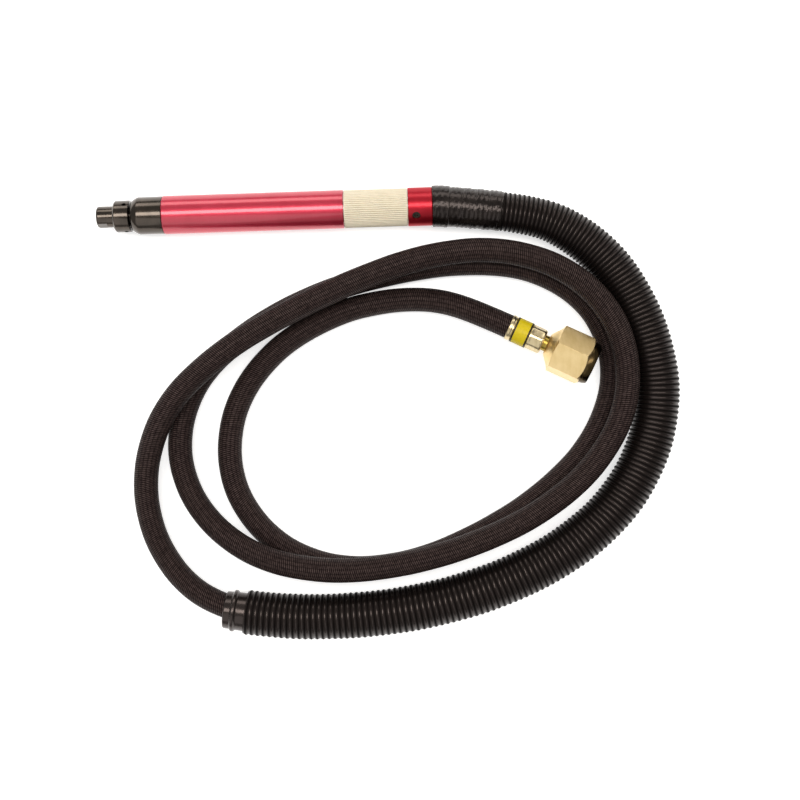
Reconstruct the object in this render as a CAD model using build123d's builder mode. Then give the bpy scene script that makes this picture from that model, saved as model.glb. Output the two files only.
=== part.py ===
"""A straight pneumatic die grinder with its exhaust overhose and braided air hose.

Millimetres. The tool lies along X with its nose towards -X, on the floor at z = 0.
Angles about the tool axis are right-handed about +X, counted from +Y.
"""

from build123d import *
import math
import os

os.makedirs("parts", exist_ok=True)

# ---- driving dimensions: lengths along the tool, from the nose backwards ----
nut_length = 8.6
chuck_length = 7.8
chuck_gap = 0.9
nose_cap_length = 15.7
housing_length = 89.8
throttle_length = 32.0
collar_length = 12.0
band_length = 8.5
wrap_length = 26.5

# ---- driving dimensions: radii of the outside ----
body_radius = 9.525
nose_step = 0.2
nose_bevel_depth = 2.0
nose_bevel_length = 3.5
chuck_radius = 7.9
chuck_chamfer = 0.8
nut_radius = 5.3
nut_edge = 1.0

# ---- clearances ----
fit = 0.05
running = 0.1
bearing_fit = 0.02
turning_gap = 0.2
body_gap = 0.3

# ---- spindle, collet and chuck ----
shank_radius = 1.5875
collet_length = 12.0
collet_recess = 0.5
collet_tip_radius = 2.55
collet_head_radius = 3.6
collet_head_length = 1.8
collet_body_radius = 2.5
collet_taper_length = 4.7
collet_slit = 0.7
collet_slit_depth = 9.0
chuck_nose_radius = 4.2
chuck_nose_setback = 2.5
chuck_hub_radius = 4.5
chuck_hub_length = 2.6
chuck_web = 0.6
tommy_hole_radius = 1.0
tommy_hole_depth = 2.5
tommy_hole_setback = 2.0
tommy_hole_angle = 51.5
nut_flat_distance = 4.7
nut_flat_length = 5.0
nut_flat_angle = -15.0
shaft_radius = 2.98
rear_shaft_radius = 2.48

# ---- nose cap ----
nose_wall = 3.2
skirt_wall = 1.8
skirt_length = 5.2
seal_length = 3.0
slinger_gap = 0.6
slinger_length = 0.8
nose_ring_section = 0.5

# ---- housing and motor ----
housing_wall = 1.275
end_plate_wall = 3.7
cylinder_length = 42.0
cylinder_wall = 0.9
cylinder_offset = 0.8
rotor_hub_radius = 3.3
vane_count = 4
vane_thickness = 1.1
vane_inner_radius = 2.75
exhaust_flat_depth = 0.6
exhaust_slot_count = 5
exhaust_slot_width = 1.4
exhaust_slot_height = 5.0
pin_radius = 0.75
pin_length = 6.0
inlet_port_radius = 0.6
inlet_port_angle = 20.0

# ---- ball bearings: (bore, outside, width, ball, balls) ----
front_bore_radius = 3.0
front_outside_radius = 6.5
front_width = 5.0
front_ball_radius = 1.0
front_ball_count = 8
rear_bore_radius = 2.5
rear_outside_radius = 5.5
rear_width = 5.0
rear_ball_radius = 0.8
rear_ball_count = 8
spring_washer_thickness = 0.5

# ---- valve body and throttle ----
valve_pilot_length = 3.0
valve_neck_depth = 1.0
valve_neck_length = 11.0
valve_tail_length = 9.5
chamber_depth = 1.2
chamber_wall = 1.2
outlet_bore_radius = 2.4
inlet_bore_radius = 2.6
port_radius = 1.2
outlet_port_setback = 10.0
port_spacing = 10.0
exhaust_passage_radius = 0.9
exhaust_passage_count = 4
seal_ring_section = 0.525
front_seal_setback = 5.0
rear_seal_setback = 6.5
throttle_step = 0.2
throttle_wall = 1.625
throttle_travel = 50.0
throttle_pocket_depth = 0.9
throttle_pocket_width = 24.0
rib_count = 54
rib_depth = 0.3
rib_groove = 0.5
stop_pin_radius = 0.8
stop_pin_setback = 3.0
stop_slot_depth = 0.9

# ---- rear collar ----
collar_wall = 3.125
set_screw_radius = 2.0
set_screw_setback = 4.0
set_screw_angle = 127.0
set_screw_recess = 1.0
set_screw_socket = 1.0
set_screw_socket_depth = 1.1
spigot_seat = 3.5
spigot_wall = 0.8
spigot_reach = 13.5

# ---- air inlet ----
barb_gap = 0.125
barb_bore_radius = 1.9
barb_reach = 12.0
barb_pitch = 3.0
adapter_thread_length = 8.0
adapter_shoulder_radius = 3.6
adapter_shoulder_length = 2.0
screen_thickness = 0.5
screen_hole_radius = 0.3
clamp_length = 6.0
clamp_wall = 0.55
clamp_setback = 3.0

# ---- hoses ----
hose_radius = 6.0
hose_bore_radius = 3.175
overhose_radius = 10.3
overhose_bore_radius = 8.3
overhose_neck_radius = 9.3
overhose_start_gap = 2.5
band_wall = 1.05
wrap_wall = 0.4
cuff_seat_length = 4.5
cuff_bead_length = 2.3
cuff_end_length = 3.7
cuff_seat_radius = 9.45
cuff_bead_radius = 10.2
cuff_end_radius = 9.15

# ---- hose end fitting ----
ferrule_length = 18.6
ferrule_rise = 0.3
ferrule_lip_rise = 0.5
ferrule_lip_length = 2.5
ferrule_wall = 0.5
ferrule_end_wall = 1.6
ferrule_end_drop = 0.6
tag_length = 8.4
tag_thickness = 0.25
stem_radius = 4.0
stem_gap = 2.0
stem_head_radius = 6.6
stem_head_length = 3.8
nut_cone_radius = 4.7
nut_cone_length = 5.3
hex_flats = 22.2
hex_length = 16.2
hex_turn = 7.0
nut_collar_drop = 0.25
nut_collar_taper = 1.15
nut_collar_length = 3.8
nut_thread_radius = 7.9
nut_rear_wall = 5.0
retaining_wire_radius = 0.45

# ---- stations along X, worked out from the lengths ----
tool_length = (nut_length + chuck_length + chuck_gap + nose_cap_length + housing_length
               + throttle_length + collar_length + band_length + wrap_length)
nose_x = -tool_length / 2
chuck_x = nose_x + nut_length
chuck_end = chuck_x + chuck_length
cap_x = chuck_end + chuck_gap
housing_x = cap_x + nose_cap_length
throttle_x = housing_x + housing_length
collar_x = throttle_x + throttle_length
band_x = collar_x + collar_length
wrap_x = band_x + band_length
tape_end = wrap_x + wrap_length

# ---- radii of the tool, worked out from the body's and the walls ----
nose_cap_radius = body_radius - nose_step
nose_face_radius = nose_cap_radius - nose_bevel_depth
housing_bore_radius = body_radius - housing_wall
insert_radius = housing_bore_radius - fit
nose_cavity_radius = insert_radius - skirt_wall
slinger_radius = nose_cavity_radius - slinger_gap
cylinder_bore_radius = insert_radius - cylinder_offset - cylinder_wall
rotor_radius = cylinder_bore_radius - cylinder_offset - running
exhaust_flat = insert_radius - exhaust_flat_depth
inlet_port_circle = (rear_outside_radius + cylinder_bore_radius + cylinder_offset) / 2
throttle_radius = body_radius - throttle_step
throttle_bore_radius = throttle_radius - throttle_wall
valve_radius = throttle_bore_radius - running
valve_neck_radius = insert_radius - valve_neck_depth
chamber_radius = insert_radius - chamber_wall
valve_tail_radius = body_radius - collar_wall
exhaust_passage_circle = (inlet_bore_radius + valve_tail_radius) / 2
spigot_radius = overhose_bore_radius - turning_gap
tape_bore_radius = overhose_neck_radius + fit
band_radius = tape_bore_radius + band_wall
wrap_radius = tape_bore_radius + wrap_wall
axis_height = band_radius

# ---- places along the tool ----
skirt_end = housing_x + skirt_length
front_plate_end = skirt_end + front_width + body_gap + end_plate_wall
cylinder_end = front_plate_end + cylinder_length
rear_plate_end = cylinder_end + end_plate_wall + rear_width
valve_x = rear_plate_end + spring_washer_thickness
tail_end = collar_x + valve_tail_length

tool_axis = Axis((0, 0, axis_height), (1, 0, 0))
section_plane = Plane(origin=(0, 0, axis_height), x_dir=(1, 0, 0), z_dir=(0, -1, 0))


def cross_plane(x):
    """The plane across the tool at x, seen from the rear: its own x is +Y and its y is +Z."""
    return Plane(origin=(x, 0, axis_height), x_dir=(0, 1, 0), z_dir=(1, 0, 0))


def radial_plane(x, angle, radius):
    """A plane at a radius from the tool axis that faces straight outwards."""
    outwards = Vector(0, math.cos(math.radians(angle)), math.sin(math.radians(angle)))
    return Plane(origin=Vector(x, 0, axis_height) + outwards * radius, x_dir=(1, 0, 0), z_dir=outwards)


def turn(*outline):
    """Turn a closed outline of (x, radius) points about the tool axis."""
    with BuildSketch(section_plane) as profile:
        with BuildLine():
            Polyline(*outline, close=True)
        make_face()
    revolve(profile.sketch, axis=tool_axis)


def ring(start, end, inner, outer, mode=Mode.ADD):
    """A plain ring about the tool axis."""
    with BuildSketch(cross_plane(start)) as profile:
        Circle(outer)
        if inner > 0:
            Circle(inner, mode=Mode.SUBTRACT)
    extrude(profile.sketch, amount=end - start, mode=mode)


def radial_hole(x, angle, radius, inner, outer):
    """A round hole drilled towards the tool axis, between two radii."""
    with BuildSketch(radial_plane(x, angle, inner)) as profile:
        Circle(radius)
    extrude(profile.sketch, amount=outer - inner, mode=Mode.SUBTRACT)


def save(built, name):
    """Label a finished piece and write it."""
    built.part.label = name
    export_step(built.part, f"parts/{name}.step")


# ======================= collet, nut and chuck =======================
nut_mouth_radius = collet_tip_radius + fit * 4
nut_bore_radius = chuck_nose_radius + running
nut_cone_start = nose_x + collet_recess + running
nut_cone_end = nut_cone_start + nut_bore_radius - nut_mouth_radius

with BuildPart() as collet_nut:
    turn(
        (nose_x, nut_mouth_radius),
        (nut_cone_start, nut_mouth_radius),
        (nut_cone_end, nut_bore_radius),
        (chuck_x - body_gap, nut_bore_radius),
        (chuck_x - body_gap, nut_radius),
        (nose_x + nut_edge, nut_radius),
        (nose_x, nut_radius - nut_edge),
    )
    for side in (0, 180):
        with BuildSketch(radial_plane(nose_x, nut_flat_angle + side, nut_flat_distance)):
            Rectangle(2 * nut_flat_length, 4 * nut_radius)
        extrude(amount=nut_radius, mode=Mode.SUBTRACT)
save(collet_nut, "collet_nut")

collet_x = nose_x + collet_recess
head_cone_end = collet_x + collet_head_radius - collet_tip_radius
head_end = collet_x + collet_head_length
taper_end = head_end + collet_taper_length
collet_end = collet_x + collet_length

with BuildPart() as collet:
    turn(
        (collet_x, shank_radius),
        (collet_x, collet_tip_radius),
        (head_cone_end, collet_head_radius),
        (head_end, collet_head_radius),
        (taper_end, collet_body_radius),
        (collet_end, collet_body_radius),
        (collet_end, shank_radius),
    )
    with BuildSketch(cross_plane(collet_x)):
        with PolarLocations(collet_head_radius / 2 + shank_radius / 4, 3, start_angle=90):
            Rectangle(collet_head_radius + shank_radius / 2, collet_slit)
    extrude(amount=collet_slit_depth, mode=Mode.SUBTRACT)
save(collet, "collet")

chuck_nose_x = nose_x + chuck_nose_setback
chuck_bore_radius = collet_body_radius + running
taper_slope = (collet_head_radius - collet_body_radius) / collet_taper_length
chuck_mouth_radius = collet_head_radius + running - taper_slope * (chuck_nose_x - head_end)
web_x = collet_end + body_gap
shaft_seat_x = web_x + chuck_web
hub_end = chuck_end + chuck_hub_length

with BuildPart() as chuck_body:
    turn(
        (chuck_nose_x, chuck_mouth_radius),
        (taper_end, chuck_bore_radius),
        (web_x, chuck_bore_radius),
        (web_x, 0),
        (shaft_seat_x, 0),
        (shaft_seat_x, shaft_radius + bearing_fit),
        (hub_end, shaft_radius + bearing_fit),
        (hub_end, chuck_hub_radius),
        (chuck_end, chuck_hub_radius),
        (chuck_end, chuck_radius),
        (chuck_x + chuck_chamfer, chuck_radius),
        (chuck_x, chuck_radius - chuck_chamfer),
        (chuck_x, chuck_nose_radius),
        (chuck_nose_x, chuck_nose_radius),
    )
    for hole in range(3):
        radial_hole(chuck_end - tommy_hole_setback, tommy_hole_angle + 120 * hole, tommy_hole_radius,
                    chuck_radius - tommy_hole_depth, chuck_radius + 1)
save(chuck_body, "chuck_body")

# ======================= nose cap, seal and slinger =======================
nose_bore_radius = chuck_hub_radius + body_gap + running
seal_x = cap_x + nose_wall
seal_end = seal_x + seal_length
slinger_x = seal_end + body_gap * 2
nose_ring_x = housing_x + nose_ring_section * 2

with BuildPart() as nose_cap:
    with BuildSketch(section_plane):
        with BuildLine():
            bevel = SagittaArc((cap_x, nose_face_radius), (cap_x + nose_bevel_length, nose_cap_radius), -0.35)
            Polyline(
                bevel @ 1,
                (housing_x, nose_cap_radius),
                (housing_x, insert_radius),
                (skirt_end, insert_radius),
                (skirt_end, nose_cavity_radius),
                (seal_x, nose_cavity_radius),
                (seal_x, nose_bore_radius),
                (cap_x, nose_bore_radius),
                bevel @ 0,
            )
        make_face()
    revolve(axis=tool_axis)
    ring(nose_ring_x - nose_ring_section - fit, nose_ring_x + nose_ring_section + fit,
         insert_radius - 2 * nose_ring_section + fit, insert_radius + 1, mode=Mode.SUBTRACT)
save(nose_cap, "nose_cap")

with BuildPart() as nose_o_ring:
    with BuildSketch(section_plane):
        with Locations((nose_ring_x, housing_bore_radius - nose_ring_section - fit / 2)):
            Circle(nose_ring_section - fit / 2)
    revolve(axis=tool_axis)
save(nose_o_ring, "nose_o_ring")

with BuildPart() as nose_seal:
    ring(seal_x, seal_end, shaft_radius + running, nose_cavity_radius - fit)
save(nose_seal, "nose_seal")

with BuildPart() as slinger:
    ring(slinger_x, slinger_x + slinger_length, shaft_radius + bearing_fit, slinger_radius)
save(slinger, "slinger")

# ======================= housing =======================
with BuildPart() as motor_housing:
    ring(housing_x, throttle_x, housing_bore_radius, body_radius)
save(motor_housing, "motor_housing")


# ======================= ball bearings =======================
def make_bearing(name, start, bore, outside, width, ball, balls):
    """An inner ring, an outer ring, a set of balls and their cage, each in its own node."""
    pitch = (bore + outside) / 2
    shoulder = 0.7 * ball
    groove = ball + running
    middle = start + width / 2
    steps = [math.radians(360 / balls * step) for step in range(balls)]
    centres = [(middle, pitch * math.cos(step), axis_height + pitch * math.sin(step)) for step in steps]

    def race_groove():
        with BuildSketch(section_plane) as profile:
            with Locations((middle, pitch)):
                Circle(groove)
        revolve(profile.sketch, axis=tool_axis, mode=Mode.SUBTRACT)

    with BuildPart() as inner_ring:
        ring(start, start + width, bore, pitch - shoulder)
        race_groove()
    save(inner_ring, f"{name}_bearing_inner")

    with BuildPart() as outer_ring:
        ring(start, start + width, pitch + shoulder, outside)
        race_groove()
    save(outer_ring, f"{name}_bearing_outer")

    with BuildPart() as ball_set:
        with Locations(*centres):
            Sphere(ball)
    save(ball_set, f"{name}_bearing_balls")

    with BuildPart() as cage:
        ring(middle - ball - running, middle + ball + running, pitch - 0.4 * ball, pitch + 0.4 * ball)
        with Locations(*centres):
            Sphere(ball + running, mode=Mode.SUBTRACT)
    save(cage, f"{name}_bearing_cage")


make_bearing("front", skirt_end, front_bore_radius, front_outside_radius, front_width,
             front_ball_radius, front_ball_count)
make_bearing("rear", cylinder_end + end_plate_wall, rear_bore_radius, rear_outside_radius, rear_width,
             rear_ball_radius, rear_ball_count)

# ======================= motor =======================
shaft_x = shaft_seat_x + body_gap
rotor_x = front_plate_end + turning_gap
rotor_end = cylinder_end - turning_gap
front_hub_x = skirt_end + front_width + bearing_fit
rear_hub_end = cylinder_end + end_plate_wall - bearing_fit
slot_width = vane_thickness + 2 * running
slot_bottom = vane_inner_radius - running
pin_circle = (cylinder_bore_radius - cylinder_offset + insert_radius) / 2

with BuildPart() as rotor:
    turn(
        (shaft_x, 0),
        (shaft_x, shaft_radius),
        (front_hub_x, shaft_radius),
        (front_hub_x, rotor_hub_radius),
        (rotor_x, rotor_hub_radius),
        (rotor_x, rotor_radius),
        (rotor_end, rotor_radius),
        (rotor_end, rotor_hub_radius),
        (rear_hub_end, rotor_hub_radius),
        (rear_hub_end, rear_shaft_radius),
        (rear_plate_end - body_gap, rear_shaft_radius),
        (rear_plate_end - body_gap, 0),
    )
    with BuildSketch(cross_plane(rotor_x)):
        with PolarLocations((slot_bottom + rotor_radius + 1) / 2, vane_count, start_angle=45):
            Rectangle(rotor_radius + 1 - slot_bottom, slot_width)
    extrude(amount=rotor_end - rotor_x, mode=Mode.SUBTRACT)
save(rotor, "rotor")

vane_reach = rotor_radius - running
with BuildPart() as rotor_vanes:
    with BuildSketch(cross_plane(rotor_x + running)):
        with PolarLocations((vane_inner_radius + vane_reach) / 2, vane_count, start_angle=45):
            Rectangle(vane_reach - vane_inner_radius, vane_thickness)
    extrude(amount=rotor_end - rotor_x - 2 * running)
save(rotor_vanes, "rotor_vanes")

with BuildPart() as front_end_plate:
    ring(skirt_end, front_plate_end, 0, insert_radius)
    ring(skirt_end, skirt_end + front_width, 0, front_outside_radius + bearing_fit, mode=Mode.SUBTRACT)
    ring(skirt_end + front_width, skirt_end + front_width + body_gap, 0, front_outside_radius - 1,
         mode=Mode.SUBTRACT)
    ring(skirt_end + front_width, front_plate_end, 0, rotor_hub_radius + turning_gap, mode=Mode.SUBTRACT)
    with BuildSketch(cross_plane(front_plate_end)):
        with Locations((0, -pin_circle)):
            Circle(pin_radius + bearing_fit)
    extrude(amount=-pin_length / 2, mode=Mode.SUBTRACT)
save(front_end_plate, "front_end_plate")

with BuildPart() as motor_cylinder:
    ring(front_plate_end, cylinder_end, 0, insert_radius)
    with BuildSketch(cross_plane(front_plate_end)):
        with Locations((0, cylinder_offset)):
            Circle(cylinder_bore_radius)
        with Locations((0, -pin_circle)):
            Circle(pin_radius + bearing_fit)
    extrude(amount=cylinder_length, mode=Mode.SUBTRACT)
    first_slot = front_plate_end + cylinder_length / (exhaust_slot_count + 1)
    with BuildSketch(Plane(origin=(first_slot - exhaust_slot_width, exhaust_flat, axis_height),
                           x_dir=(1, 0, 0), z_dir=(0, 1, 0))):
        Rectangle(cylinder_end - first_slot + exhaust_slot_width, 2 * insert_radius,
                  align=(Align.MIN, Align.CENTER))
    extrude(amount=insert_radius - exhaust_flat, mode=Mode.SUBTRACT)
    for slot in range(exhaust_slot_count):
        slot_x = front_plate_end + (slot + 1) * cylinder_length / (exhaust_slot_count + 1)
        with BuildSketch(Plane(origin=(slot_x, 0, axis_height), x_dir=(1, 0, 0), z_dir=(0, 1, 0))):
            Rectangle(exhaust_slot_width, exhaust_slot_height)
        extrude(amount=insert_radius, mode=Mode.SUBTRACT)
save(motor_cylinder, "motor_cylinder")

with BuildPart() as rear_end_plate:
    ring(cylinder_end, rear_plate_end, 0, insert_radius)
    ring(cylinder_end + end_plate_wall, rear_plate_end, 0, rear_outside_radius + bearing_fit,
         mode=Mode.SUBTRACT)
    ring(cylinder_end, rear_plate_end, 0, rotor_hub_radius + turning_gap, mode=Mode.SUBTRACT)
    with BuildSketch(cross_plane(cylinder_end)):
        with Locations((0, -pin_circle)):
            Circle(pin_radius + bearing_fit)
    extrude(amount=pin_length / 2, mode=Mode.SUBTRACT)
    with BuildSketch(cross_plane(cylinder_end)):
        with PolarLocations(inlet_port_circle, 2, start_angle=90 - inlet_port_angle,
                            angular_range=2 * inlet_port_angle, endpoint=True):
            Circle(inlet_port_radius)
    extrude(amount=rear_plate_end - cylinder_end, mode=Mode.SUBTRACT)
    with BuildSketch(Plane(origin=(cylinder_end, exhaust_flat, axis_height),
                           x_dir=(1, 0, 0), z_dir=(0, 1, 0))):
        Rectangle(rear_plate_end - cylinder_end, 2 * insert_radius, align=(Align.MIN, Align.CENTER))
    extrude(amount=insert_radius - exhaust_flat, mode=Mode.SUBTRACT)
save(rear_end_plate, "rear_end_plate")

with BuildPart() as cylinder_pins:
    for pin_middle in (front_plate_end, cylinder_end):
        with BuildSketch(cross_plane(pin_middle - pin_length / 2 + fit)):
            with Locations((0, -pin_circle)):
                Circle(pin_radius)
        extrude(amount=pin_length - 2 * fit)
save(cylinder_pins, "cylinder_pins")

with BuildPart() as preload_washer:
    ring(rear_plate_end, valve_x, rear_outside_radius - 1, rear_outside_radius)
save(preload_washer, "preload_washer")

# ======================= valve body =======================
neck_x = valve_x + valve_pilot_length
neck_end = neck_x + valve_neck_length
outlet_port_x = throttle_x + outlet_port_setback
inlet_port_x = outlet_port_x + port_spacing
seal_groove = seal_ring_section + running
seal_bottom = throttle_bore_radius - fit - 2 * seal_ring_section
seal_places = (throttle_x + front_seal_setback, collar_x - rear_seal_setback)
stop_pin_x = collar_x - stop_pin_setback

with BuildPart() as valve_body:
    turn(
        (valve_x, 0),
        (valve_x, insert_radius),
        (neck_x, insert_radius),
        (neck_x, valve_neck_radius),
        (neck_end, valve_neck_radius),
        (neck_end, insert_radius),
        (throttle_x, insert_radius),
        (throttle_x, valve_radius),
        (collar_x, valve_radius),
        (collar_x, valve_tail_radius),
        (tail_end, valve_tail_radius),
        (tail_end, 0),
    )
    ring(valve_x, valve_x + chamber_depth, 0, chamber_radius, mode=Mode.SUBTRACT)
    ring(valve_x, outlet_port_x + port_radius, 0, outlet_bore_radius, mode=Mode.SUBTRACT)
    ring(inlet_port_x - port_radius, tail_end, 0, inlet_bore_radius, mode=Mode.SUBTRACT)
    for port_x in (outlet_port_x, inlet_port_x):
        radial_hole(port_x, 90, port_radius, 0, valve_radius + 1)
    passage_x = neck_x + valve_neck_length / 3
    with BuildSketch(cross_plane(passage_x)):
        with PolarLocations(exhaust_passage_circle, exhaust_passage_count, start_angle=45):
            Circle(exhaust_passage_radius)
    extrude(amount=tail_end - passage_x, mode=Mode.SUBTRACT)
    for passage in range(exhaust_passage_count):
        radial_hole(passage_x + exhaust_passage_radius, 45 + 360 / exhaust_passage_count * passage,
                    exhaust_passage_radius, exhaust_passage_circle, valve_neck_radius + 1)
    for seal_place in seal_places:
        ring(seal_place - seal_groove, seal_place + seal_groove, seal_bottom, valve_radius + 1,
             mode=Mode.SUBTRACT)
    radial_hole(stop_pin_x, -90, stop_pin_radius + bearing_fit, valve_tail_radius, valve_radius + 1)
    with BuildSketch(Plane(origin=(valve_x, exhaust_flat, axis_height), x_dir=(1, 0, 0), z_dir=(0, 1, 0))):
        Rectangle(valve_pilot_length, 2 * insert_radius, align=(Align.MIN, Align.CENTER))
    extrude(amount=insert_radius - exhaust_flat, mode=Mode.SUBTRACT)
save(valve_body, "valve_body")

with BuildPart() as valve_o_rings:
    with BuildSketch(section_plane):
        with Locations(*[(place, seal_bottom + seal_ring_section) for place in seal_places]):
            Circle(seal_ring_section)
    revolve(axis=tool_axis)
save(valve_o_rings, "valve_o_rings")

with BuildPart() as throttle_stop_pin:
    with BuildSketch(radial_plane(stop_pin_x, -90, valve_tail_radius + fit)):
        Circle(stop_pin_radius)
    extrude(amount=valve_radius + stop_slot_depth - valve_tail_radius - body_gap)
save(throttle_stop_pin, "throttle_stop_pin")

# ======================= throttle ring =======================
pocket_start = outlet_port_x - port_radius
pocket_end = inlet_port_x + port_radius
stop_half_angle = math.degrees((stop_pin_radius + body_gap) / throttle_bore_radius)
stop_slot_half = stop_pin_radius + body_gap
ring_x = throttle_x + turning_gap
ring_end = collar_x - turning_gap


def inside_sector(start, end, first_angle, last_angle, depth):
    """A pocket cut outwards into the throttle ring's bore, between two angles."""
    with BuildSketch(cross_plane(start)) as profile:
        with BuildLine():
            outer = CenterArc((0, 0), throttle_bore_radius + depth, first_angle, last_angle - first_angle)
            inner = CenterArc((0, 0), throttle_bore_radius / 2, first_angle, last_angle - first_angle)
            Line(outer @ 0, inner @ 0)
            Line(outer @ 1, inner @ 1)
        make_face()
    extrude(profile.sketch, amount=end - start, mode=Mode.SUBTRACT)


with BuildPart() as throttle_ring:
    with BuildSketch(cross_plane(ring_x)):
        Circle(throttle_radius)
        Circle(throttle_bore_radius, mode=Mode.SUBTRACT)
        with PolarLocations(throttle_radius, rib_count):
            Rectangle(2 * rib_depth, rib_groove, mode=Mode.SUBTRACT)
    extrude(amount=ring_end - ring_x)
    inside_sector(pocket_start, pocket_end,
                  90 - throttle_travel - throttle_pocket_width / 2,
                  90 - throttle_travel + throttle_pocket_width / 2, throttle_pocket_depth)
    inside_sector(stop_pin_x - stop_slot_half, stop_pin_x + stop_slot_half,
                  -90 - throttle_travel - stop_half_angle, -90 + stop_half_angle, stop_slot_depth)
save(throttle_ring, "throttle_ring")

# ======================= rear collar =======================
set_screw_x = collar_x + set_screw_setback
spigot_x = band_x - spigot_seat
spigot_end = band_x + spigot_reach

with BuildPart() as rear_collar:
    ring(collar_x, band_x, valve_tail_radius + fit, body_radius)
    ring(spigot_x, band_x, 0, spigot_radius + fit, mode=Mode.SUBTRACT)
    radial_hole(set_screw_x, set_screw_angle, set_screw_radius + fit, valve_tail_radius, body_radius + 1)
save(rear_collar, "rear_collar")

with BuildPart() as collar_set_screw:
    with BuildSketch(radial_plane(set_screw_x, set_screw_angle, valve_tail_radius + fit)):
        Circle(set_screw_radius)
    extrude(amount=body_radius - set_screw_recess - valve_tail_radius - fit)
    with BuildSketch(radial_plane(set_screw_x, set_screw_angle, body_radius - set_screw_recess)):
        RegularPolygon(set_screw_socket, 6, major_radius=False)
    extrude(amount=-set_screw_socket_depth, mode=Mode.SUBTRACT)
save(collar_set_screw, "collar_set_screw")

with BuildPart() as exhaust_spigot:
    ring(spigot_x, spigot_end, spigot_radius - spigot_wall, spigot_radius)
save(exhaust_spigot, "exhaust_spigot")

# ======================= air inlet =======================
hose_x = band_x + overhose_start_gap
shoulder_end = tail_end + adapter_shoulder_length
barb_end = hose_x + barb_reach
adapter_x = tail_end - adapter_thread_length
barb_radius = hose_bore_radius - barb_gap

with BuildPart() as inlet_adapter:
    ring(adapter_x, tail_end, 0, inlet_bore_radius - bearing_fit)
    ring(tail_end, shoulder_end, 0, adapter_shoulder_radius)
    ring(shoulder_end, barb_end, 0, barb_radius)
    for groove in range(int(barb_reach / barb_pitch)):
        with BuildSketch(section_plane):
            with Locations((barb_end - barb_pitch * (groove + 0.7), barb_radius + barb_pitch / 8)):
                Circle(barb_pitch / 4)
        revolve(axis=tool_axis, mode=Mode.SUBTRACT)
    ring(adapter_x, barb_end, 0, barb_bore_radius, mode=Mode.SUBTRACT)
save(inlet_adapter, "inlet_adapter")

with BuildPart() as inlet_screen:
    with BuildSketch(cross_plane(adapter_x - screen_thickness)):
        Circle(inlet_bore_radius - bearing_fit)
        with HexLocations(screen_hole_radius * 1.6, 3, 3):
            Circle(screen_hole_radius, mode=Mode.SUBTRACT)
    extrude(amount=screen_thickness)
save(inlet_screen, "inlet_screen")

with BuildPart() as inlet_hose_clamp:
    ring(hose_x + clamp_setback, hose_x + clamp_setback + clamp_length,
         hose_radius + fit, hose_radius + fit + clamp_wall)
save(inlet_hose_clamp, "inlet_hose_clamp")

# ======================= hose routes =======================
# Each point is (forward of the overhose's start, sideways), at the height of the tool axis.
overhose_route = [
    (0, 0), (19, 0), (42, -3.9), (60, -11), (80, -27), (94.5, -47.5), (104, -71.5),
    (108, -97), (102, -126), (85, -152.5), (60, -173), (30.5, -187.8), (0, -197.3),
    (-31, -202.3), (-63, -203.5), (-86, -202.1), (-100.6, -199.9),
]
# Inside the overhose and its cuff the air hose leans towards the side it leaves on.
inner_route = overhose_route[:-2] + [(-86, -202.6), (-111, -197.6)]
# Beyond the cuff each point has a third number, the gap between the hose and the floor.
free_route = [
    (-133, -185, 1.8), (-149, -159, 0), (-152, -127, 2), (-138.5, -94, 11.6), (-109, -68, 13.3),
    (-76, -50, 12.8), (-42, -35.5, 12.6), (-7, -24.5, 12.2), (30, -21.5, 12.2), (65.5, -34, 13),
    (88.5, -62, 14.5), (91.5, -99, 13.5), (74.5, -132, 11.8), (45, -155, 11.8), (10.5, -169.5, 12.6),
    (-25, -178, 12.9), (-62, -180.5, 13.2), (-99, -173, 9.6), (-128, -149, 0.6), (-136.5, -115, 0),
    (-124, -81, 0), (-95, -56.5, 0), (-61.5, -40.5, 0), (-26.5, -32, 0), (11, -27.5, 0),
    (48.5, -31.5, 0), (78.5, -52.5, 0), (88.5, -86.5, 0), (75.5, -121, 0), (47.5, -147.5, 0),
    (15.5, -166, 0), (-19, -179, 0), (-56.5, -181, 0), (-89, -166, 0), (-109, -135.5, 0),
    (-107, -98.5, 0), (-85, -68.5, 0), (-52, -50.5, 0), (-24, -45, 0), (-1, -46, 0.3),
    (18, -53.3, 3.2), (34.2, -61.5, 4.8),
]
overhose_points = [Vector(hose_x + x, y, axis_height) for x, y in overhose_route]
hose_points = [Vector(hose_x + x, y, axis_height) for x, y in inner_route]
hose_points += [Vector(hose_x + x, y, hose_radius + lift) for x, y, lift in free_route]


def corner_radii(points):
    """The arc at each corner of a route: 0.45 of its shorter run over the tangent of half the turn."""
    radii = []
    for before, corner, after in zip(points, points[1:], points[2:]):
        turn_angle = (corner - before).get_angle(after - corner)
        shorter = min((corner - before).length, (after - corner).length)
        radii.append(0.45 * shorter / math.tan(math.radians(turn_angle / 2)))
    return radii


def sweep_tube(path, outer, inner):
    """Sweep a round tube along a path, from the path's start."""
    with BuildSketch(Plane(origin=path @ 0, z_dir=path % 0)) as profile:
        Circle(outer)
        Circle(inner, mode=Mode.SUBTRACT)
    sweep(profile.sketch, path=path)


overhose_radii = corner_radii(overhose_points)
hose_radii = corner_radii(hose_points)
print("overhose corner radii", [round(radius) for radius in overhose_radii])
print("air hose corner radii", [round(radius) for radius in hose_radii])

# ======================= overhose, cuff and tape =======================
with BuildLine() as overhose_line:
    FilletPolyline(*overhose_points, radius=overhose_radii)
overhose_edges = overhose_line.wire().order_edges()
# Under the tape the overhose is stretched thinner: that is the first run, its arc and the run after it.
neck_path = Wire(overhose_edges[:3])
main_path = Wire(overhose_edges[3:])

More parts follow.
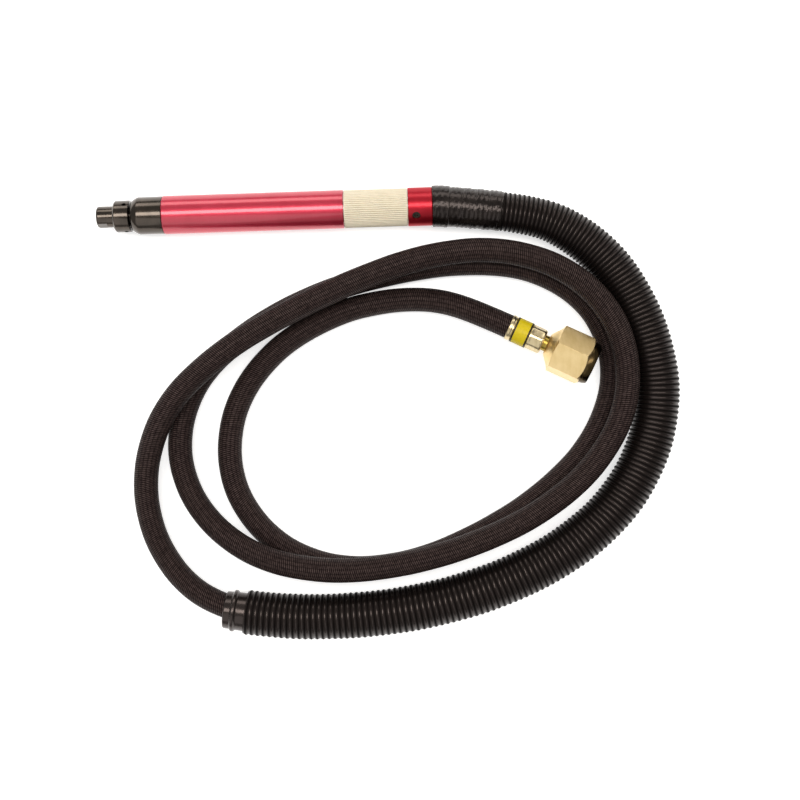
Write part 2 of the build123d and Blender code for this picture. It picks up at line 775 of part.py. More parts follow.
with BuildPart() as exhaust_overhose:
    sweep_tube(neck_path, overhose_neck_radius, overhose_bore_radius)
    sweep_tube(main_path, overhose_radius, overhose_bore_radius)
save(exhaust_overhose, "exhaust_overhose")
overhose_length = neck_path.length + main_path.length
overhose_section = math.pi * (overhose_radius**2 - overhose_bore_radius**2)
neck_section = math.pi * (overhose_neck_radius**2 - overhose_bore_radius**2)
print("overhose length", round(overhose_length, 1), "volume over section times length",
      round(exhaust_overhose.part.volume
            / (neck_path.length * neck_section + main_path.length * overhose_section), 4))

cuff_direction = (overhose_points[-1] - overhose_points[-2]).normalized()
cuff_plane = Plane(origin=overhose_points[-1], z_dir=cuff_direction)
cuff_sections = (
    (0, cuff_seat_length, cuff_seat_radius),
    (cuff_seat_length, cuff_bead_length, cuff_bead_radius),
    (cuff_seat_length + cuff_bead_length, cuff_end_length, cuff_end_radius),
)
with BuildPart() as overhose_cuff:
    for cuff_start, cuff_section_length, cuff_section_radius in cuff_sections:
        with BuildSketch(cuff_plane.offset(cuff_start)):
            Circle(cuff_section_radius)
            Circle(overhose_bore_radius, mode=Mode.SUBTRACT)
        extrude(amount=cuff_section_length)
save(overhose_cuff, "overhose_cuff")

tape_corner = overhose_points[1]
tape_direction = (overhose_points[2] - overhose_points[1]).normalized()
# The last wrap ends square to the bent hose, so its outer edge is what reaches tape_end.
tape_lean = tape_direction.get_angle(Vector(1, 0, 0))
tape_reach = (tape_end - wrap_radius * math.sin(math.radians(tape_lean)) - tape_corner.X) / tape_direction.X

with BuildPart() as tape_wrap:
    with BuildLine() as tape_line:
        FilletPolyline(Vector(band_x, 0, axis_height), tape_corner,
                       tape_corner + tape_direction * tape_reach, radius=overhose_radii[0])
    sweep_tube(tape_line.wire(), wrap_radius, tape_bore_radius)
    ring(band_x, wrap_x, tape_bore_radius, band_radius)
save(tape_wrap, "tape_wrap")

# ======================= air hose =======================
fitting_axis = (hose_points[-1] - hose_points[-2]).normalized()
fitting_plane = Plane(origin=hose_points[-1], x_dir=Vector(0, 0, 1).cross(fitting_axis), z_dir=fitting_axis)
ferrule_radius = hose_radius + ferrule_rise
ferrule_lip_radius = hose_radius + ferrule_lip_rise
crimped_radius = ferrule_radius - ferrule_wall - fit
stem_barb_end = ferrule_length - ferrule_end_wall


def fitting_ring(start, end, inner, outer, mode=Mode.ADD):
    """A plain ring about the hose end's axis, at distances from the hose's visible end."""
    with BuildSketch(fitting_plane.offset(start)) as profile:
        Circle(outer)
        if inner > 0:
            Circle(inner, mode=Mode.SUBTRACT)
    extrude(profile.sketch, amount=end - start, mode=mode)


with BuildLine() as hose_line:
    FilletPolyline(*hose_points, radius=hose_radii)
hose_path = hose_line.wire()

with BuildPart() as air_hose:
    sweep_tube(hose_path, hose_radius, hose_bore_radius)
    fitting_ring(0, stem_barb_end - fit, hose_bore_radius, crimped_radius)
save(air_hose, "air_hose")
hose_section = math.pi * (hose_radius**2 - hose_bore_radius**2)
crimped_volume = math.pi * (crimped_radius**2 - hose_bore_radius**2) * (stem_barb_end - fit)
print("air hose length", round(hose_path.length, 1), "volume over section times length",
      round((air_hose.part.volume - crimped_volume) / (hose_path.length * hose_section), 4))

# ======================= hose end fitting =======================
tag_start = ferrule_lip_length
tag_end = tag_start + tag_length
nut_x = ferrule_length + stem_gap
hex_start = nut_x + nut_cone_length
hex_end = hex_start + hex_length
mouth = hex_end + nut_collar_length
head_start = nut_x + nut_rear_wall + running
wire_place = nut_x + nut_rear_wall / 2

with BuildPart() as hose_ferrule:
    fitting_ring(0, tag_start, 0, ferrule_lip_radius)
    fitting_ring(tag_start, tag_end, 0, ferrule_radius - fit)
    fitting_ring(tag_end, ferrule_length - ferrule_end_wall, 0, ferrule_radius)
    with BuildSketch(fitting_plane.offset(ferrule_length - ferrule_end_wall)):
        Circle(ferrule_radius)
    with BuildSketch(fitting_plane.offset(ferrule_length)):
        Circle(ferrule_radius - ferrule_end_drop)
    loft()
    fitting_ring(0, stem_barb_end, 0, crimped_radius + fit, mode=Mode.SUBTRACT)
    fitting_ring(stem_barb_end, ferrule_length, 0, stem_radius + fit, mode=Mode.SUBTRACT)
save(hose_ferrule, "hose_ferrule")

with BuildPart() as hose_tag:
    fitting_ring(tag_start, tag_end, ferrule_radius, ferrule_radius + tag_thickness)
save(hose_tag, "hose_tag")

with BuildPart() as swivel_stem:
    fitting_ring(0, stem_barb_end, 0, barb_radius)
    fitting_ring(stem_barb_end, head_start, 0, stem_radius)
    fitting_ring(head_start, head_start + stem_head_length, 0, stem_head_radius)
    fitting_ring(0, head_start + stem_head_length, 0, barb_bore_radius, mode=Mode.SUBTRACT)
    fitting_ring(wire_place - retaining_wire_radius - fit, wire_place + retaining_wire_radius + fit,
                 stem_radius - retaining_wire_radius - fit, stem_radius + 1, mode=Mode.SUBTRACT)
save(swivel_stem, "swivel_stem")

with BuildPart() as swivel_retaining_wire:
    with BuildSketch(Plane(origin=fitting_plane.origin, x_dir=fitting_plane.z_dir,
                           z_dir=fitting_plane.y_dir)):
        with Locations((wire_place, stem_radius)):
            Circle(retaining_wire_radius)
    revolve(axis=Axis(fitting_plane.origin, fitting_plane.z_dir))
save(swivel_retaining_wire, "swivel_retaining_wire")

hex_corner_radius = hex_flats / math.sqrt(3)
nut_collar_radius = hex_flats / 2 - nut_collar_drop
with BuildPart() as swivel_nut:
    with BuildSketch(fitting_plane.offset(nut_x)):
        Circle(nut_cone_radius)
    with BuildSketch(fitting_plane.offset(hex_start)):
        Circle(nut_collar_radius)
    loft()
    with BuildSketch(fitting_plane.offset(hex_start)):
        RegularPolygon(hex_corner_radius, 6, rotation=90 - hex_turn)
    extrude(amount=hex_length)
    with BuildSketch(fitting_plane.offset(hex_end)):
        Circle(nut_collar_radius)
    with BuildSketch(fitting_plane.offset(mouth)):
        Circle(nut_collar_radius - nut_collar_taper)
    loft()
    fitting_ring(nut_x, mouth, 0, stem_radius + running, mode=Mode.SUBTRACT)
    fitting_ring(nut_x + nut_rear_wall, mouth, 0, stem_head_radius + body_gap, mode=Mode.SUBTRACT)
    fitting_ring(head_start + stem_head_length + body_gap, mouth, 0, nut_thread_radius, mode=Mode.SUBTRACT)
    fitting_ring(wire_place - retaining_wire_radius - running, wire_place + retaining_wire_radius + running,
                 0, stem_radius + retaining_wire_radius + running, mode=Mode.SUBTRACT)
save(swivel_nut, "swivel_nut")

print("tool length", round(tool_length, 2), "fitting origin", fitting_plane.origin, "axis", fitting_axis)
print("swivel mouth", fitting_plane.origin + fitting_axis * mouth, "thread length",
      mouth - head_start - stem_head_length - body_gap)
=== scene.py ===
"""A pneumatic die grinder with its hoses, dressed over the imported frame."""

import math

import bmesh
import bpy
import numpy as np
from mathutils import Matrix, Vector


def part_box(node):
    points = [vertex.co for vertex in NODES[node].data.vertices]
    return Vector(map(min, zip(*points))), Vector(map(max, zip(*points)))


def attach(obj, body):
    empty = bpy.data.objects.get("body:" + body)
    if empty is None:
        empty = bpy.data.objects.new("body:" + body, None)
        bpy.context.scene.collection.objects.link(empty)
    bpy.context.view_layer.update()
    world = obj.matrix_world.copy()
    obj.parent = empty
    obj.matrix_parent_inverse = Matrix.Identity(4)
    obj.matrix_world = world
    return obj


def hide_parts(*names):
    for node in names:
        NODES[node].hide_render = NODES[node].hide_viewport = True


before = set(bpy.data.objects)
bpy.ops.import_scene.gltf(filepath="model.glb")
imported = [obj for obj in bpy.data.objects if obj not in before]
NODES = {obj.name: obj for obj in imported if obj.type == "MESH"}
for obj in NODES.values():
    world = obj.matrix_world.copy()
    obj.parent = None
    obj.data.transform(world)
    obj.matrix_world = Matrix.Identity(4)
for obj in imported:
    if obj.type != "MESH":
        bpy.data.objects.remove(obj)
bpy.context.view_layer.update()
MM = 0.001


def span(node):
    """A node's two ends along the tool, in millimetres."""
    low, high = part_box(node)
    return low[0] / MM, high[0] / MM


def outer_radius(node):
    """Half of a node's height, in millimetres."""
    low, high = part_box(node)
    return (high[2] - low[2]) / 2 / MM


NOSE_X, NUT_END = span("collet_nut")
CAP_X, SKIRT_END = span("nose_cap")
HOUSING_X, THROTTLE_X = span("motor_housing")
COLLAR_X, BAND_X = span("rear_collar")
TAPE_END = span("tape_wrap")[1]
NUT_GAP, CAP_GAP = 0.3, 0.9  # open gaps before and behind the chuck
HOSE_OFFSET = 2.5  # from the rear collar's end to the first point of both hoses
CHUCK_X = NUT_END + NUT_GAP
CHUCK_END = CAP_X - CAP_GAP
HOSE_X = BAND_X + HOSE_OFFSET
BODY_R, CAP_R, RING_R = (outer_radius(node) for node in ("motor_housing", "nose_cap", "throttle_ring"))
NUT_R, CHUCK_R, BAND_R = (outer_radius(node) for node in ("collet_nut", "chuck_body", "tape_wrap"))
AXIS_Z = (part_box("motor_housing")[0][2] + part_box("motor_housing")[1][2]) / 2 / MM


# ---------------------------------------------------------------- node materials

class Maker:
    """Builds one node material around a Principled shader."""

    def __init__(self, name, color=(0.5, 0.5, 0.5), rough=0.5, metal=0.0, **sockets):
        self.mat = bpy.data.materials.new(name)
        self.mat.use_nodes = True
        self.tree = self.mat.node_tree
        self.bsdf = self.tree.nodes["Principled BSDF"]
        values = {"Base Color": (*color, 1), "Roughness": rough, "Metallic": metal, **sockets}
        for key, value in values.items():
            self.bsdf.inputs[key.replace("_", " ")].default_value = value

    def node(self, kind, inputs=None, **props):
        """A shader node with its inputs linked or set, and its properties."""
        made = self.tree.nodes.new("ShaderNode" + kind)
        for key, value in props.items():
            setattr(made, key, value)
        for key, value in (inputs or {}).items():
            if isinstance(value, bpy.types.NodeSocket):
                self.tree.links.new(value, made.inputs[key])
            else:
                made.inputs[key].default_value = value
        return made

    def math(self, operation, a, b=0.0, c=0.0):
        made = self.node("Math", {0: a, 1: b, 2: c}, operation=operation)
        return made.outputs[0]

    def ramp(self, factor, *stops):
        """A colour ramp; each stop is a place and a colour."""
        made = self.node("ValToRGB", {"Fac": factor})
        ramp = made.color_ramp
        while len(ramp.elements) < len(stops):
            ramp.elements.new(0.5)
        for element, (place, color) in zip(ramp.elements, stops):
            element.position = place
            element.color = (*color, 1)
        return made.outputs["Color"]

    def noise(self, vector, scale, detail, rough):
        inputs = {"Vector": vector, "Scale": scale, "Detail": detail, "Roughness": rough}
        return self.node("TexNoise", inputs).outputs["Fac"]

    def mapped(self, scale=(1, 1, 1)):
        """Object coordinates, in metres, stretched along each axis."""
        coords = self.node("TexCoord").outputs["Object"]
        return self.node("Mapping", {"Vector": coords, "Scale": scale}).outputs["Vector"]

    def link(self, socket, output):
        self.tree.links.new(output, self.bsdf.inputs[socket])

    def bump(self, height, distance, strength=1.0):
        made = self.node("Bump", {"Height": height, "Distance": distance, "Strength": strength})
        self.link("Normal", made.outputs["Normal"])


def grey(value):
    """A neutral colour."""
    return (value, value, value)


def turned_metal(name, dark, light, rough, lines=9000, line_depth=2e-6, **sockets):
    """Metal with fine lathe lines round the tool's axis and faint variation in tone."""
    made = Maker(name, light, rough, 1.0, **sockets)
    fine = made.noise(made.mapped((lines, 60, 60)), 1.0, 2.0, 0.7)
    patches = made.noise(made.mapped(), 160.0, 3.0, 0.6)
    blend = made.math("MULTIPLY_ADD", fine, 0.45, made.math("MULTIPLY", patches, 0.55))
    made.link("Base Color", made.ramp(blend, (0.3, dark), (0.7, light)))
    made.link("Roughness", made.math("MULTIPLY_ADD", blend, 0.16, rough - 0.08))
    made.bump(fine, line_depth)
    return made.mat


# ---------------------------------------------------------------- mesh helpers

def tool_frame(x=0.0):
    """Origin and axes for a piece on the tool axis: along it, sideways and up."""
    return Vector((x, 0, AXIS_Z)), Vector((1, 0, 0)), Vector((0, 1, 0)), Vector((0, 0, 1))


def grid_mesh(name, points, closed_rows=False, uv=None):
    """A mesh from rows of points in millimetres, each row closed; uv gives the map's V of every row."""
    rows, columns = points.shape[:2]
    vertices = (points.reshape(-1, 3) * MM).tolist()
    last = rows if closed_rows else rows - 1
    faces = []
    for i in range(last):
        a, b = i * columns, ((i + 1) % rows) * columns
        for j in range(columns):
            k = (j + 1) % columns
            faces.append((a + j, a + k, b + k, b + j))
    mesh = bpy.data.meshes.new(name)
    mesh.from_pydata(vertices, [], faces)
    mesh.polygons.foreach_set("use_smooth", [True] * len(faces))
    if uv is not None:
        layer = mesh.uv_layers.new(name="surface")
        values = []
        for i in range(last):
            for j in range(columns):
                lo, hi = j / columns, (j + 1) / columns
                values += [lo, uv[i], hi, uv[i], hi, uv[i + 1], lo, uv[i + 1]]
        layer.data.foreach_set("uv", values)
    mesh.update()
    return mesh


def put(name, mesh, material, body, replaced=()):
    """Makes a piece from a mesh, on a body."""
    made = bpy.data.objects.new(name, mesh)
    bpy.context.collection.objects.link(made)
    mesh.materials.append(material)
    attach(made, body)
    if replaced:
        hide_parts(*replaced)
    return made


def rounded(*corners, steps=4):
    """An outline of (along, radius) corners; a third number rounds its corner by that much."""
    out = []
    for i, corner in enumerate(corners):
        if len(corner) < 3:
            out.append(corner)
            continue
        here = np.array(corner[:2], float)
        before = np.array(corners[i - 1][:2], float) - here
        after = np.array(corners[(i + 1) % len(corners)][:2], float) - here
        cut = corner[2]
        start = here + before / np.linalg.norm(before) * cut
        end = here + after / np.linalg.norm(after) * cut
        for t in np.linspace(0, 1, steps + 1):
            out.append(tuple((1 - t) ** 2 * start + 2 * t * (1 - t) * here + t * t * end))
    return out


def split_edges(mesh, angle=35):
    """Welds points that meet, and marks edges sharper than an angle, so that flat faces stay flat."""
    work = bmesh.new()
    work.from_mesh(mesh)
    bmesh.ops.remove_doubles(work, verts=work.verts, dist=1e-7)
    bmesh.ops.delete(work, geom=[edge for edge in work.edges if not edge.link_faces], context="EDGES")
    bmesh.ops.recalc_face_normals(work, faces=work.faces)
    for edge in work.edges:
        if len(edge.link_faces) == 2 and edge.calc_face_angle(0) > math.radians(angle):
            edge.smooth = False
    work.to_mesh(mesh)
    work.free()
    return mesh


def around(frame_axes, outline, count=96, shape=None):
    """Points of an outline turned about an axis; shape(along, radius, angles) may change the radii."""
    origin, along, side, up = frame_axes
    angles = np.linspace(0, 2 * math.pi, count, endpoint=False)
    grid = np.zeros((len(outline), count, 3))
    for i, (s, r) in enumerate(outline):
        radii = np.full(count, float(r)) if shape is None else shape(s, r, angles)
        centre = np.array(origin + along * s)
        grid[i] = centre + radii[:, None] * (np.cos(angles)[:, None] * np.array(side)
                                             + np.sin(angles)[:, None] * np.array(up))
    return grid


def turned(name, frame_axes, outline, material, body, replaced=(), count=96, shape=None):
    """A closed outline turned about an axis."""
    grid = around(frame_axes, outline, count, shape)
    return put(name, split_edges(grid_mesh(name, grid, closed_rows=True)), material, body, replaced)


def cut_with(piece, *cutters):
    """Cuts meshes out of a piece and applies the result."""
    for cutter in cutters:
        modifier = piece.modifiers.new("cut", "BOOLEAN")
        modifier.operation = "DIFFERENCE"
        modifier.solver = "EXACT"
        modifier.object = cutter
    bpy.context.view_layer.update()
    depsgraph = bpy.context.evaluated_depsgraph_get()
    cut = bpy.data.meshes.new_from_object(piece.evaluated_get(depsgraph))
    piece.modifiers.clear()
    piece.data = split_edges(cut)
    for cutter in cutters:
        bpy.data.objects.remove(cutter)


def radial_cylinder(x, angle, radius, inner, outer, sides=32):
    """A cutter that stands out from the tool's axis, with a coned inner end as a drill leaves."""
    angle = math.radians(angle)
    along = Vector((0, math.cos(angle), math.sin(angle)))
    side = Vector((1, 0, 0))
    axes = (Vector((x, 0, AXIS_Z)), along, side, along.cross(side))
    tip = 0.01
    outline = [(inner - radius * 0.5, tip), (inner, radius), (outer, radius), (outer, tip)]
    grid = around(axes, outline, sides)
    made = bpy.data.objects.new("cutter", split_edges(grid_mesh("cutter", grid, closed_rows=True), 10))
    bpy.context.collection.objects.link(made)
    return made


# ---------------------------------------------------------------- cord routes, in millimetres

# Each point is placed from where the hoses leave the tool; a third number is the height above the floor.
OVERHOSE_ROUTE = [
    (0, 0), (16, -1.4), (42, -5.1), (60.8, -10.7), (81.1, -25.9), (95.4, -46.9), (104.6, -71.3),
    (108.2, -97), (102, -125.8), (85.5, -152.8), (60.3, -173.6), (30.6, -188), (0, -197.3),
    (-31, -202.2), (-63, -203.4), (-87.5, -201.9), (-102.2, -199.5),
]
INNER_ROUTE = OVERHOSE_ROUTE[:-2] + [(-86, -202.6), (-111, -197.6)]
FREE_ROUTE = [
    (-133, -185, 7.8), (-149, -159, 6), (-151.6, -127, 8), (-137.6, -94.5, 17.6), (-108.3, -68.9, 19.3),
    (-75.5, -51, 18.8), (-41.6, -36.4, 18.6), (-6.8, -25.2, 18.2), (30, -22.5, 18.2), (65.1, -34.7, 19),
    (88.5, -62, 20.5), (92.1, -99.6, 19.8), (74.5, -132, 17.8), (45, -155, 17.8), (10.5, -169.5, 18.6),
    (-25, -178, 18.9), (-62, -179.9, 19.2), (-98.3, -171.1, 15.6), (-126.3, -147.6, 6.6), (-135.6, -115, 6),
    (-124, -81, 6), (-94.4, -57.3, 6), (-61, -41.2, 6), (-26.4, -32.3, 6), (11, -27.5, 6),
    (48.5, -31.5, 6), (78.5, -52.5, 6), (88.5, -86.5, 6), (75.5, -121, 6), (47.5, -147.5, 6),
    (15.5, -166, 6), (-19, -179, 6), (-56.5, -181, 6), (-89, -166, 6), (-109, -135.5, 6),
    (-107, -98.5, 6), (-85, -68.5, 6), (-52, -50.8, 6), (-24, -45.5, 6), (-1, -46.3, 6.3),
    (18, -53.3, 9.2), (34.2, -61.5, 10.8),
]
OVERHOSE_POINTS = [(HOSE_X + x, y, AXIS_Z) for x, y in OVERHOSE_ROUTE]
HOSE_POINTS = [(HOSE_X + x, y, AXIS_Z) for x, y in INNER_ROUTE]
HOSE_POINTS += [(HOSE_X + x, y, z) for x, y, z in FREE_ROUTE]


def smooth_line(name, points, resolution=48):
    """Points read, in millimetres, from the NURBS spline whose control points are a route's."""
    curve = bpy.data.curves.new(name, "CURVE")
    curve.dimensions = "3D"
    curve.resolution_u = resolution
    spline = curve.splines.new("NURBS")
    spline.points.add(len(points) - 1)
    for control, place in zip(spline.points, points):
        control.co = (place[0] * MM, place[1] * MM, place[2] * MM, 1)
    spline.order_u = 3
    spline.use_endpoint_u = True
    carrier = bpy.data.objects.new(name, curve)
    mesh = bpy.data.meshes.new_from_object(carrier)
    line = np.array([v.co[:] for v in mesh.vertices]) / MM
    bpy.data.objects.remove(carrier)
    bpy.data.meshes.remove(mesh)
    return line


class Route:
    """A smooth line in millimetres, with its places and its axes at any distance along it."""

    def __init__(self, line):
        self.line = line
        self.marks = np.concatenate([[0], np.cumsum(np.linalg.norm(np.diff(line, axis=0), axis=1))])
        self.length = self.marks[-1]

    def at(self, s):
        """The line's places at each distance."""
        s = np.atleast_1d(s)
        return np.stack([np.interp(s, self.marks, self.line[:, k]) for k in range(3)], axis=1)

    def axes(self, s):
        """Centre, direction, sideways and up at each distance; the last three are square to each other."""
        s = np.atleast_1d(s).astype(float)
        step = 0.6
        centre = self.at(s)
        forward = self.at(np.minimum(s + step, self.length)) - self.at(np.maximum(s - step, 0))
        forward /= np.linalg.norm(forward, axis=1)[:, None]
        side = np.cross(forward, (0, 0, 1.0))
        side /= np.linalg.norm(side, axis=1)[:, None]
        return centre, forward, side, np.cross(side, forward)

    def tube(self, stations, radius, count, flatten=None):
        """Rings of points round the line; radius(stations, angles) gives their radii, and no point lies
        further below the line than flatten."""
        angles = np.linspace(0, 2 * math.pi, count, endpoint=False)
        centre, _, side, up = self.axes(stations)
        radii = radius(stations[:, None], angles[None, :])
        rise = radii * np.sin(angles)
        if flatten is not None:
            rise = np.clip(rise, -flatten, None)
        across = radii * np.cos(angles)
        return centre[:, None] + across[..., None] * side[:, None] + rise[..., None] * up[:, None]


overhose_line = Route(smooth_line("overhose_line", OVERHOSE_POINTS))
hose_line = Route(smooth_line("hose_line", HOSE_POINTS))


# ---------------------------------------------------------------- the object's materials

def black_plastic(name, color, rough, bump_scale, bump_depth, shine=0.4):
    """Black moulded plastic: a slight orange peel and dust-dulled patches."""
    made = Maker(name, color, rough, Specular_IOR_Level=shine, Specular_Tint=(1, 0.82, 0.76, 1))
    peel = made.noise(made.mapped(), bump_scale, 3.0, 0.6)
    dust = made.noise(made.mapped(), 90.0, 4.0, 0.65)
    made.link("Roughness", made.math("MULTIPLY_ADD", dust, 0.22, rough - 0.11))
    made.link("Base Color", made.ramp(dust, (0.35, color), (0.75, tuple(1.9 * c + 0.002 for c in color))))
    made.bump(peel, bump_depth)
    return made.mat


def corrugated(name):
    """Black corrugated plastic: scuffed dull on the crests and glossier down in the grooves; its base
    colour is painted light and shade, darker on the crests and lighter in the grooves.
    """
    made = Maker(name, (0.004, 0.003, 0.0026), 0.3, Specular_Tint=(1, 0.82, 0.76, 1))
    uv = made.node("UVMap", uv_map="surface").outputs["UV"]
    count = made.node("SeparateXYZ", {"Vector": uv}).outputs["Y"]
    groove = made.math("ABSOLUTE", made.math("SINE", made.math("MULTIPLY", count, math.pi)))
    polish_and_painted_bands = made.math("POWER", groove, 1.6)
    dust = made.noise(made.mapped(), 90.0, 4.0, 0.65)
    # Painted light and shade: the base colour bands with the ridges, darker on the crests and lighter in
    # the grooves.
    made.link("Base Color", made.ramp(polish_and_painted_bands, (0.2, (0.0016, 0.0011, 0.001)),
                                      (0.9, (0.0065, 0.0045, 0.004))))
    dull = made.math("MULTIPLY_ADD", polish_and_painted_bands, -0.38, 0.56)
    made.link("Roughness", made.math("ADD", dull, made.math("MULTIPLY", dust, 0.14)))
    made.link("Specular IOR Level", made.math("MULTIPLY_ADD", polish_and_painted_bands, 0.42, 0.05))
    made.bump(made.noise(made.mapped(), 700.0, 3.0, 0.6), 2e-5)
    return made.mat


# How many rows go round the hose, a stitch's length in them, and how far each row is shifted, in stitches.
STITCH_ROWS, STITCH_PITCH, STITCH_SLANT = 18, 0.98, 0.5


def braid(name):
    """A woven jacket: lengthwise rows of short slanted stitches, with fuzz and wear; each stitch's top is
    coloured lighter as a painted highlight, and the gaps between stitches darker as painted shade.
    """
    made = Maker(name, (0.014, 0.01, 0.009), 0.5, Specular_IOR_Level=0.13, Specular_Tint=(1, 0.8, 0.76, 1))
    uv = made.node("UVMap", uv_map="surface").outputs["UV"]
    split = made.node("SeparateXYZ", {"Vector": uv})
    row = made.math("MULTIPLY", split.outputs["X"], STITCH_ROWS)
    stitch = made.math("DIVIDE", split.outputs["Y"], STITCH_PITCH)
    stitch = made.math("ADD", stitch, made.math("MULTIPLY", row, STITCH_SLANT))
    rise = []
    for phase in (row, stitch):
        rise.append(made.math("ABSOLUTE", made.math("SINE", made.math("MULTIPLY", phase, math.pi))))
    height = made.math("MULTIPLY", made.math("POWER", rise[0], 0.2), rise[1])
    fuzz = made.noise(made.mapped(), 2600.0, 3.0, 0.7)
    wear = made.noise(made.mapped(), 520.0, 3.0, 0.65)
    # Painted highlight and shade: the stitch height lightens the stitches' tops and darkens the gaps
    # between them, varied by the wear noise.
    stitch_highlight_and_wear = made.math("MULTIPLY", height, made.math("MULTIPLY_ADD", wear, 0.9, 0.2))
    tone = made.math("MULTIPLY_ADD", fuzz, 0.35, stitch_highlight_and_wear)
    made.link("Base Color", made.ramp(tone, (0.25, (0.003, 0.0017, 0.0015)),
                                      (0.55, (0.014, 0.0082, 0.0078)), (0.85, (0.06, 0.04, 0.036))))
    made.link("Specular IOR Level", made.math("MULTIPLY_ADD", tone, 0.3, 0.02))
    made.link("Roughness", made.math("MULTIPLY_ADD", height, -0.32, 0.76))
    made.bump(made.math("MULTIPLY_ADD", fuzz, 0.25, height), 2.6e-4, 1.0)
    return made.mat


def cream_plastic(name):
    """Moulded cream plastic, darker the deeper it lies in its grooves, and with a slightly uneven tint."""
    made = Maker(name, (0.78, 0.68, 0.47), 0.42, Subsurface_Weight=0.05,
                 Subsurface_Radius=(0.002, 0.001, 0.0006))
    place = made.node("SeparateXYZ", {"Vector": made.node("TexCoord").outputs["Object"]})
    y, z = place.outputs["Y"], made.math("SUBTRACT", place.outputs["Z"], AXIS_Z * MM)
    reach = made.math("SQRT", made.math("ADD", made.math("MULTIPLY", y, y), made.math("MULTIPLY", z, z)))
    height = made.math("MULTIPLY", made.math("SUBTRACT", reach, (RING_R - 0.4) * MM), 1 / (0.42 * MM))
    stain = made.noise(made.mapped(), 260.0, 4.0, 0.6)
    # The tone darkens with depth in the grooves between the ribs.
    tone = made.math("MULTIPLY_ADD", stain, 0.45, made.math("MULTIPLY", height, 0.7))
    made.link("Base Color", made.ramp(tone, (0.15, (0.42, 0.34, 0.22)), (0.5, (0.74, 0.65, 0.48)),
                                      (0.85, (0.84, 0.765, 0.6))))
    made.link("Roughness", made.math("MULTIPLY_ADD", stain, 0.25, 0.34))
    made.bump(made.noise(made.mapped(), 1500.0, 3.0, 0.6), 2e-5)
    return made.mat


def vinyl_tape(name):
    """Glossy black tape with fine crinkles and stretched patches."""
    made = Maker(name, (0.012, 0.011, 0.011), 0.28, Specular_IOR_Level=0.44,
                 Specular_Tint=(1, 0.85, 0.8, 1))
    crinkle = made.noise(made.mapped((900, 300, 300)), 1.0, 3.0, 0.65)
    broad = made.noise(made.mapped((220, 260, 260)), 1.0, 3.0, 0.6)
    made.link("Base Color", made.ramp(broad, (0.35, (0.003, 0.0024, 0.0022)),
                                      (0.7, (0.012, 0.0094, 0.008))))
    made.link("Roughness", made.math("MULTIPLY_ADD", broad, 0.3, 0.08))
    made.bump(made.math("MULTIPLY_ADD", broad, 1.4, crinkle), 1.6e-4, 0.8)
    return made.mat


def anodised(name, deep, bright, rough, coat):
    """Anodised aluminium: a metal tinted by its dyed layer, with a clear skin and fine turned lines."""
    made = Maker(name, bright, rough, 0.75, Coat_Weight=coat, Coat_Roughness=0.13, Coat_IOR=1.65,
                 Specular_Tint=(0.9, 0.35, 0.4, 1))
    lines = made.noise(made.mapped((5200, 40, 40)), 1.0, 2.0, 0.7)
    haze = made.noise(made.mapped(), 60.0, 3.0, 0.6)
    tone = made.math("MULTIPLY_ADD", lines, 0.35, made.math("MULTIPLY", haze, 0.65))
    made.link("Base Color", made.ramp(tone, (0.3, deep), (0.7, bright)))
    made.link("Roughness", made.math("MULTIPLY_ADD", lines, 0.12, rough - 0.06))
    made.bump(lines, 1.5e-6)
    return made.mat


def yellow_band(name):
    """A plain yellow printed band, slightly scuffed."""
    made = Maker(name, (0.66, 0.5, 0.01), 0.4, Specular_IOR_Level=0.25)
    scuff = made.noise(made.mapped(), 700.0, 4.0, 0.7)
    made.link("Base Color", made.ramp(scuff, (0.25, (0.48, 0.36, 0.008)), (0.45, (0.64, 0.49, 0.006)),
                                      (0.8, (0.7, 0.55, 0.012))))
    made.link("Roughness", made.math("MULTIPLY_ADD", scuff, 0.3, 0.25))
    made.bump(scuff, 1.5e-5)
    return made.mat


def soft_matter(name, dark, light, rough, scale, depth):
    """Rubber, felt or laminate: mottled and grained."""
    made = Maker(name, light, rough)
    grain = made.noise(made.mapped(), scale, 4.0, 0.65)
    made.link("Base Color", made.ramp(grain, (0.3, dark), (0.7, light)))
    made.link("Roughness", made.math("MULTIPLY_ADD", grain, 0.2, rough - 0.1))
    made.bump(grain, depth)
    return made.mat


